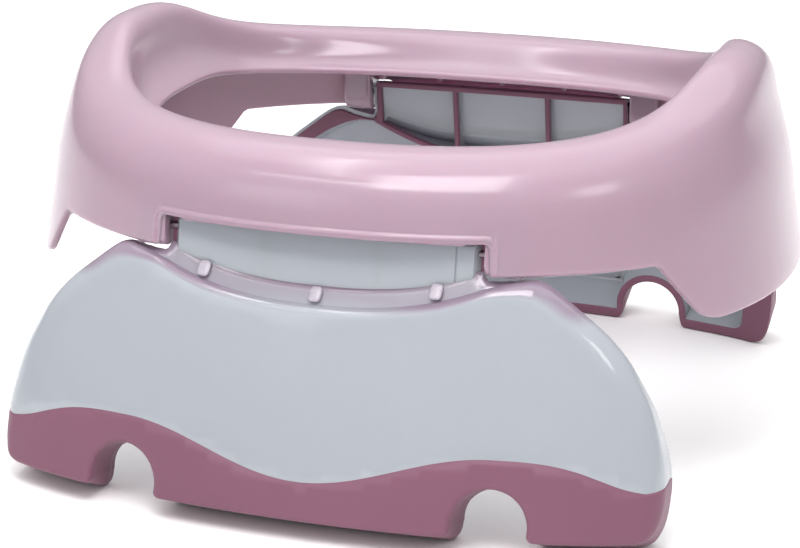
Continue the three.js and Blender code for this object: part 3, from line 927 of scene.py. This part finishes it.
def cell_outline():
    """The open cell's outline at its rim, and how much each point rises towards the cell's floor."""
    floor = CELL_SOLE
    middle = FINGER_MIDDLE - FINGER_DROP
    radius = FINGER_RADIUS + FINGER_RIM
    start = math.asin((floor - middle) / radius)
    arc = finger_arc(radius, middle, start)
    foot = resample([(0, floor), (arc[0, 0], floor)], OUTLINE_STEP)
    toe_end = (119.4, 24)
    smile_x = 60
    toe = rounded_path([(arc[-1, 0], floor), (118.6, floor), toe_end], [5.0], 8)
    side = spline(
        [toe_end, (118.6, 41.5), (114.6, 55), (108.4, 66.6), (101, 75.6), (92, 83), (83, 88.2), (74, 91.6),
         (66, 92.4), (smile_x, ledge_edge(smile_x) - SKIN)],
        np.linspace(0, 1, 70),
    )
    smile = np.array([(x, ledge_edge(x) - SKIN) for x in np.linspace(smile_x, 0, 24)])
    right = np.concatenate([foot[:-1], arc[:-1], toe[:-1], side[:-1], smile])
    right[-1, 0] = 0
    x, z = right.T
    whole = 6.4
    rise = whole * np.clip(1 - (z - floor) / 8.0, 0, 1)
    rise = np.where(x > 100, rise, np.where(z < floor + 0.4, whole, 0))
    notched = (np.abs(x - FINGER_X) < radius + 0.1) & (z < FOOT_TOP_Z)
    rise = np.where(notched, np.maximum(rise, FINGER_DROP * 0.8), rise)
    return mirrored(right), mirrored(rise, 1)


def leg_wall(loop, drop, start_o, end_o, fractions, full_depth):
    """Rows of a wall that runs from the outer side inwards, while the foot drops to the ground."""
    rows = []
    x, z = loop.T
    side = np.abs(x)
    high = z > PANEL_TOP_Z
    neck = np.where(high, 1 - smoothstep((side - NECK_HALF + 0.8) / 2.8), 0)
    shoulder = np.where(high, smoothstep((z - 84) / 6) * (1 - smoothstep((side - SHOULDER_END_X) / 8)), 0)
    for f in fractions:
        o = start_o + (end_o - start_o) * f
        depth = start_o - o
        share = np.clip(depth / np.maximum(1, full_depth - SOLE_LAND), 0, 1)
        ledge_lift = LEDGE_RISE * np.clip(depth / (LEDGE_DEPTH - 3.4), 0, 1)
        crown = np.clip(SHOULDER_CROWN_Z - z, 0, 4) * np.clip(depth / SHOULDER_LAND, 0, 1) ** 0.7
        crown -= SHOULDER_DRAFT * np.maximum(0, depth - SHOULDER_LAND)
        lift = neck * ledge_lift + (1 - neck) * shoulder * crown
        rows.append(np.stack([x, o, z - drop * SOLE_RISE * share + lift], 1))
    return rows


def wave_points(left, right):
    """The top edge of the foot band between two end points of the outline."""
    xs = np.linspace(left[0], right[0], 150)
    z = wave_line(xs)
    blend_left = 1 - smoothstep((xs - left[0]) / 12)
    blend_right = 1 - smoothstep((right[0] - xs) / 12)
    z = z + (left[1] - wave_line(left[0])) * blend_left + (right[1] - wave_line(right[0])) * blend_right
    return np.stack([xs, z], 1)


def panel_parts():
    """The panel's outline with its inward normals, and which of it the foot band covers."""
    loop, drop, radius = panel_outline()
    normal = inward(loop)
    below = (loop[:, 1] < wave_line(loop[:, 0])) | (loop[:, 1] < 20)
    return loop, drop, radius, normal, below


def face_rows(loop, normal, radius, sink, steps=9):
    """Rows of the rounded edge, from the outer face round to the side wall."""
    rows = []
    for a in np.linspace(0, math.pi / 2, steps):
        flat = loop + normal * (radius * (1 - math.sin(a)) + sink)[:, None]
        o = outer_face(*flat.T) - radius * (1 - math.cos(a)) - sink
        rows.append(placed(flat, o))
    return rows


def leg_body(skin):
    """The hard shell: outer skin, side walls, rim and the open cell."""
    loop, drop, radius, normal, below = panel_parts()
    sink = np.where(below, BAND_SINK, 0.0)
    rows = face_rows(loop, normal, radius, sink)
    edge = rows[0]
    first = int(np.argmax(~below))
    wave = wave_points(edge[len(loop) - first][[0, 2]], edge[first][[0, 2]])
    flat, triangles = fill([edge[:, [0, 2]]], [wave[1:-1]], FACE_STEP)
    under = flat[:, 1] < np.interp(flat[:, 0], wave[:, 0], wave[:, 1]) - 0.05
    face = placed(flat, outer_face(*flat.T))
    face[:, 1] -= np.where(under, BAND_SINK, 0)
    face[: len(loop)] = edge
    index = skin.add(face)
    skin.triangles(index, triangles)

    rim_loop = loop + normal * sink[:, None]
    start_o = rows[-1][:, 1]
    inner_z = loop[:, 1] - drop * SOLE_RISE
    rim_o = inner_face(loop[:, 0], inner_z) + np.where(below, CAP - 0.4, RIM_DEPTH)
    in_neck = (np.abs(loop[:, 0]) < NECK_HALF - 0.5) & (loop[:, 1] > PANEL_TOP_Z)
    rim_o = np.where(in_neck, neck_face(loop[:, 0], loop[:, 1] + LEDGE_RISE) - NECK_SKIN + 0.5, rim_o)
    fractions = (0, 0.04, 0.09, 0.15, 0.22, 0.3, 0.45, 0.65, 0.83, 1)
    walls = leg_wall(rim_loop, drop, start_o, rim_o, fractions, start_o - rim_o + CAP)
    outer_rows = skin.rows(rows + walls[1:])

    cell, rise = cell_outline()
    cell_normal = inward(cell)
    x, z = cell.T
    in_neck = (np.abs(x) < NECK_HALF - NECK_SKIN) & (z > PANEL_TOP_Z)
    cell_rim_o = np.where(in_neck, neck_face(x, z + 5) - NECK_SKIN + 0.5, inner_face(x, z) + RIM_DEPTH)
    lift = np.where(in_neck, 4.6, 0.0)
    cell_rows = []
    for f in np.linspace(0, 1, 6):
        flat = cell + cell_normal * CELL_DRAFT * f
        flat[:, 1] += rise * f + lift * (1 - f)
        o = cell_rim_o + (outer_face(*flat.T) - SKIN - FLOOR_ROUND - cell_rim_o) * f
        cell_rows.append(placed(flat, o))
    floor_edge = cell_rows[-1][:, [0, 2]]
    floor_normal = inward(floor_edge)
    for a in np.linspace(0, math.pi / 2, 5)[1:]:
        flat = floor_edge + floor_normal * FLOOR_ROUND * (1 - math.cos(a))
        o = outer_face(*flat.T) - SKIN - FLOOR_ROUND * (1 - math.sin(a))
        cell_rows.append(placed(flat, o))
    cell_index = skin.rows(cell_rows)
    floor_flat, floor_tri = fill([cell_rows[-1][:, [0, 2]]], [], 5.0)
    skin.triangles(skin.add(placed(floor_flat, outer_face(*floor_flat.T) - SKIN)), floor_tri)

    rim_outer = walls[-1][:, [0, 2]]
    rim_inner = cell_rows[0][:, [0, 2]]
    rim_tri = fill([rim_outer, rim_inner], [], 0)[1]
    joined = np.concatenate([outer_rows[-1], cell_index[0]])
    skin.triangles(joined, rim_tri)


def loft_x(skin, stations, section):
    """A closed solid through sections at stations along X."""
    skin.solid([[(x, o, z) for o, z in section(x)] for x in stations])


def eased(x0, x1, edge, count):
    """Stations along X with a rounded edge at each end: (x, how much the section shrinks)."""
    angles = np.linspace(0, math.pi / 2, 4)
    first = [(x0 + edge * (1 - math.cos(a)), edge * (1 - math.sin(a))) for a in angles]
    last = [(x1 - (x - x0), s) for x, s in reversed(first)]
    middle = [(x, 0.0) for x in np.linspace(x0 + edge, x1 - edge, count)[1:-1]]
    return first + middle + last


def end_recess(x):
    """How far the neck's outer face curves back near its two ends."""
    return END_RECESS * max(0.0, abs(x) - PLATE_HALF)


def cap_seat(x, z):
    """How far out the hard rims stand, just inside the soft caps that cover them."""
    return inner_face(x, z) + CAP - 0.4


def neck_plate(skin):
    """The neck: its outer skin and the flange along its top. A fine seam runs down near one end."""
    def section(x, shrink, seam):
        low = float(ledge_edge(x)) + 2.5
        top = NECK_TOP - shrink
        flange = RAIL_BOTTOM + 0.2
        cut = shrink + end_recess(x) + seam

        def out(z):
            return neck_face(x, z) - cut

        def back(z):
            return min(neck_face(x, z) - NECK_SKIN, out(z) - 1.4)

        inner = cap_seat(x, NECK_TOP) + shrink
        points = [
            (out(low), low), (out(top - 3), top - 3), (out(top) - 1.2, top - 0.8), (out(top) - 3.0, top),
            (inner, top - 0.1), (inner, flange), (back(RAIL_BOTTOM), flange), (back(low), low),
        ]
        return rounded_polygon(points, SMALL_ROUND, 3)

    stations = [(x, s, 0.0) for x, s in eased(-NECK_HALF, NECK_HALF, 0.8, 44)]
    seam = ((-0.4, 0), (-0.15, SEAM_DEPTH), (0.15, SEAM_DEPTH), (0.4, 0))
    stations += [(SEAM_X + dx, 0.0, depth) for dx, depth in seam]
    stations += [(side * (PLATE_HALF + dx), 0.0, 0.0) for side in (-1, 1) for dx in (-0.4, 0.2)]
    skin.solid([[(x, o, z) for o, z in section(x, s, depth)] for x, s, depth in sorted(stations)])


def neck_webs(skin):
    """The end walls, the two upright ribs and the curved rib, all hard plastic."""
    high = NECK_TOP - 1

    def end_wall(x):
        low = END_WALL_LOW
        out = -1.0 - end_recess(x)
        return [
            (cap_seat(x, high), high), (neck_face(x, high) + out, high),
            (neck_face(x, low) + out, low), (cap_seat(x, low), low),
        ]

    def rib(x):
        low = float(arc_rib(CELL_RIB_X))
        return [
            (cap_seat(x, high), high), (neck_face(x, high) - 1, high), (neck_face(x, 89) - 1, 89),
            (outer_face(x, 85) - 5, 85), (outer_face(x, low) - 2.5, low), (cap_seat(x, low), low),
        ]

    def arc(x):
        low = float(arc_rib(x)) - RIB / 2
        top = float(arc_rib(x)) + RIB / 2
        depth = 2.5 + 3.5 * (abs(x) / ARC_HALF) ** 4
        return [
            (cap_seat(x, low), low), (outer_face(x, low) - depth, low),
            (outer_face(x, top) - depth, top), (cap_seat(x, top), top),
        ]

    for side in (-1, 1):
        loft_x(skin, sorted((side * (NECK_HALF - END_WALL), side * (NECK_HALF - 0.9))), end_wall)
        loft_x(skin, sorted((side * (CELL_RIB_X - RIB / 2), side * (CELL_RIB_X + RIB / 2))), rib)
    loft_x(skin, np.linspace(-ARC_HALF, ARC_HALF, 49), arc)


def foot_band(skin):
    """The soft band round the foot: outer face, rounded edge, sole and notch walls."""
    loop, drop, radius, normal, below = panel_parts()
    rows = face_rows(loop, normal, radius, np.zeros(len(loop)))
    first = int(np.argmax(~below))
    order = np.r_[len(loop) - first:len(loop), 0:first + 1]
    wave = wave_points(rows[0][order[0]][[0, 2]], rows[0][order[-1]][[0, 2]])
    edge = rows[0][order]
    boundary = np.concatenate([edge[:, [0, 2]], wave[1:-1][::-1]])
    flat, triangles = fill([boundary], [], FACE_STEP)
    skin.triangles(skin.add(placed(flat, outer_face(*flat.T))), triangles)
    start_o = rows[-1][:, 1]
    inner_z = loop[:, 1] - drop * SOLE_RISE
    end_o = inner_face(loop[:, 0], inner_z) + CAP
    walls = leg_wall(loop, drop, start_o, end_o, np.linspace(0, 1, 7), start_o - end_o + CAP)
    skin.rows([row[order] for row in rows + walls[1:]], closed=False)


def rim_cap(skin):
    """The soft cap along the rim on the inner side, a horseshoe that is open at the neck."""
    loop, drop, radius, _, _ = panel_parts()
    start_o = outer_face(loop[:, 0], loop[:, 1]) - radius
    end_o = inner_face(loop[:, 0], loop[:, 1] - drop * SOLE_RISE)
    full = start_o - end_o
    walls = leg_wall(loop, drop, start_o, end_o, [1 - CAP / 15, 1.0], full)
    outer = walls[-1][:, [0, 2]]
    inset = np.where(outer[:, 1] > BAND_END, RIM_INSET, 0.0)[:, None]
    outer = outer + inward(outer) * inset
    inner, _ = cell_outline()
    keep = ~((np.abs(outer[:, 0]) < NECK_HALF - 0.7) & (outer[:, 1] > PANEL_TOP_Z))
    outer_part = np.roll(outer, -int(np.where(~keep)[0][-1]) - 1, axis=0)[: keep.sum()]
    keep_in = ~((np.abs(inner[:, 0]) < NECK_HALF - 1.5) & (inner[:, 1] > PANEL_TOP_Z))
    inner_part = np.roll(inner, -int(np.where(~keep_in)[0][-1]) - 1, axis=0)[: keep_in.sum()]
    boundary = np.concatenate([outer_part, inner_part[::-1]])
    cap_solid(skin, boundary, 0.0)


def cap_solid(skin, boundary, lift):
    """A slab on the inner face with a rounded edge. lift keeps the tops of crossing caps a hair apart."""
    centre = inward(boundary)
    rows = [placed(boundary, inner_face(*boundary.T) + o) for o in (CAP, CAP_ROUND)]
    for a in np.linspace(0, math.pi / 2, 4)[1:]:
        flat = boundary + centre * CAP_ROUND * (1 - math.cos(a))
        o = inner_face(*flat.T) + CAP_ROUND * (1 - math.sin(a)) - lift
        rows.append(placed(flat, o))
    index = skin.rows(rows)
    skin.triangles(index[-1], fill([rows[-1][:, [0, 2]]], [], 0)[1])
    skin.triangles(index[0], fill([boundary], [], 0)[1])


def anticlockwise(loop):
    """The same loop, turned round if it runs clockwise."""
    x, z = loop.T
    area = np.sum(x * np.roll(z, -1) - np.roll(x, -1) * z)
    return loop if area > 0 else loop[::-1]


def neck_caps(skin):
    """Soft caps on the neck's rail, end walls and ribs."""
    def bar(x0, x1, low, high, lift):
        corners = rounded_polygon([(x0, low), (x1, low), (x1, high), (x0, high)], 0.5, 3)
        path = resample(np.array(corners + [corners[0]]), 1.5)[:-1]
        cap_solid(skin, anticlockwise(path), lift)

    bar(-NECK_HALF, NECK_HALF, RAIL_BOTTOM, NECK_TOP, 0.05)
    for side in (-1, 1):
        bar(*sorted((side * (NECK_HALF - END_WALL), side * NECK_HALF)), END_CAP_LOW, NECK_TOP - 1, 0.1)
        rib = sorted((side * (CELL_RIB_X - RIB / 2), side * (CELL_RIB_X + RIB / 2)))
        bar(*rib, RIB_CAP_LOW, NECK_TOP - 1, 0.1)
    xs = np.linspace(-ARC_HALF - 1, ARC_HALF + 1, 60)
    low = np.stack([xs, arc_rib(xs) - RIB / 2 - 0.2], 1)
    high = np.stack([xs, arc_rib(xs) + RIB / 2 + 0.2], 1)
    cap_solid(skin, anticlockwise(np.concatenate([low, high[::-1]])), 0.15)


def stop_buffer(name, x, turned, material, body):
    """A small clear pill that lies on the ledge, pointing outwards."""
    edge = float(ledge_edge(x))
    outer = float(outer_face(x, edge)) - 2.2
    inner = float(neck_face(x, edge + LEDGE_RISE)) + 0.6
    slope = math.atan2(LEDGE_RISE - 1.4, outer - inner)
    centre = np.array([x, (inner + outer) / 2, edge + LEDGE_RISE / 2 + 0.5])
    out = np.array([0, math.cos(slope), -math.sin(slope)])
    up = np.array([0, math.sin(slope), math.cos(slope)])
    across = np.array([1, 0, 0])
    rows = []
    for a in np.linspace(-math.pi / 2, math.pi / 2, 21)[1:-1]:
        reach = out * STOP_HALF_LENGTH * signed_power(math.sin(a), 0.55)
        girth = abs(math.cos(a)) ** 0.55
        ring = []
        for b in np.linspace(0, 2 * math.pi, 28, endpoint=False):
            sideways = across * STOP_HALF_WIDTH * girth * signed_power(math.cos(b), 0.7)
            rise = up * STOP_HALF_HEIGHT * girth * signed_power(math.sin(b), 0.8)
            ring.append(centre + reach + sideways + rise)
        rows.append(ring)
    skin = Skin()
    skin.solid(rows)
    obj = skin.build(name + "_pill", turned, sharp=80)
    dress(obj, material, body, name)


def leg(name, turned, white, rose, clear):
    """One whole leg: hard shell, soft band, soft caps and three stops."""
    body = f"{name}_leg"
    shell = Skin()
    leg_body(shell)
    neck_plate(shell)
    neck_webs(shell)
    hard = shell.build(f"{body}_hard_shell", turned)
    dress(hard, white, body, f"{body}_shell")

    band = Skin()
    foot_band(band)
    soft = band.build(f"{body}_foot_band", turned, sharp=70)
    thick = soft.modifiers.new("thickness", "SOLIDIFY")
    thick.thickness = BAND_SKIN * MM
    thick.offset = -1
    thick.use_even_offset = False
    dress(soft, rose, body, f"{body}_grip")

    caps = Skin()
    rim_cap(caps)
    neck_caps(caps)
    rim = caps.build(f"{body}_rim_caps", turned, sharp=70)
    dress(rim, rose, body, f"{body}_grip")

    for place, x in (("left", -STOP_X), ("middle", 0.0), ("right", STOP_X)):
        stop_buffer(f"{body}_stop_{place}", -x if turned else x, turned, clear, body)


# ---- Stage, lights and camera ----

def floor():
    """The plain sheet that the object stands on."""
    mesh = bpy.data.meshes.new("floor")
    corners = [(x * FLOOR_SIZE, y * FLOOR_SIZE, 0) for x, y in ((-1, -1), (1, -1), (1, 1), (-1, 1))]
    mesh.from_pydata(corners, [], [(0, 1, 2, 3)])
    obj = in_scene("floor", mesh)
    obj.location.z = -FLOOR_DROP
    mesh.materials.append(floor_paper())


def area_light(name, place, target, size, power, colour):
    """A rectangular lamp at a place, turned to face its target."""
    light = bpy.data.lights.new(name, "AREA")
    light.shape = "RECTANGLE"
    light.size, light.size_y = size
    light.energy = power
    light.color = colour
    obj = in_scene(name, light)
    obj.location = place
    obj.rotation_euler = (Vector(target) - Vector(place)).to_track_quat("-Z", "Y").to_euler()


def lights():
    """Soft boxes, and a white surround that is brighter overhead than at the horizon."""
    for name, values in LIGHTS.items():
        area_light(name, *values)
    world = bpy.data.worlds.new("studio")
    bpy.context.scene.world = world
    world.use_nodes = True
    tree = world.node_tree
    place = tree.nodes.new("ShaderNodeTexCoord")
    split = tree.nodes.new("ShaderNodeSeparateXYZ")
    rise = tree.nodes.new("ShaderNodeMapRange")
    settings(rise, {"From Min": 0.0, "From Max": 0.7, "To Min": HORIZON_STRENGTH, "To Max": ZENITH_STRENGTH})
    link(tree, place, "Generated", split, "Vector")
    link(tree, split, "Z", rise, "Value")
    link(tree, rise, "Result", tree.nodes["Background"], "Strength")
    tree.nodes["Background"].inputs["Color"].default_value = (1, 1, 1, 1)


def camera():
    """The camera, on a line from its target at an azimuth and an elevation."""
    azimuth = math.radians(CAMERA_AZIMUTH)
    elevation = math.radians(CAMERA_ELEVATION)
    back = Vector((
        math.sin(azimuth) * math.cos(elevation),
        -math.cos(azimuth) * math.cos(elevation),
        math.sin(elevation),
    ))
    data = bpy.data.cameras.new("camera")
    data.sensor_width = 36.0
    data.lens = CAMERA_LENS
    data.clip_start = 0.05
    obj = in_scene("camera", data)
    obj.location = Vector(CAMERA_TARGET) + back * CAMERA_DISTANCE
    obj.rotation_euler = (-back).to_track_quat("-Z", "Y").to_euler()
    bpy.context.scene.camera = obj


def main():
    camera()
    pink = pink_plastic()
    white = white_plastic()
    rose = rose_rubber()
    steel = pin_metal()
    clear = stop_plastic()

    dress(seat_ring_piece(), pink, "seat", "seat_ring")
    leg("front", True, white, rose, clear)
    leg("rear", False, white, rose, clear)
    for name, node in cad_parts.items():
        if "hinge_pin" in name:
            for slot in node.material_slots:
                slot.material = steel
    floor()
    lights()
    bpy.context.scene.view_settings.view_transform = "Standard"


main()
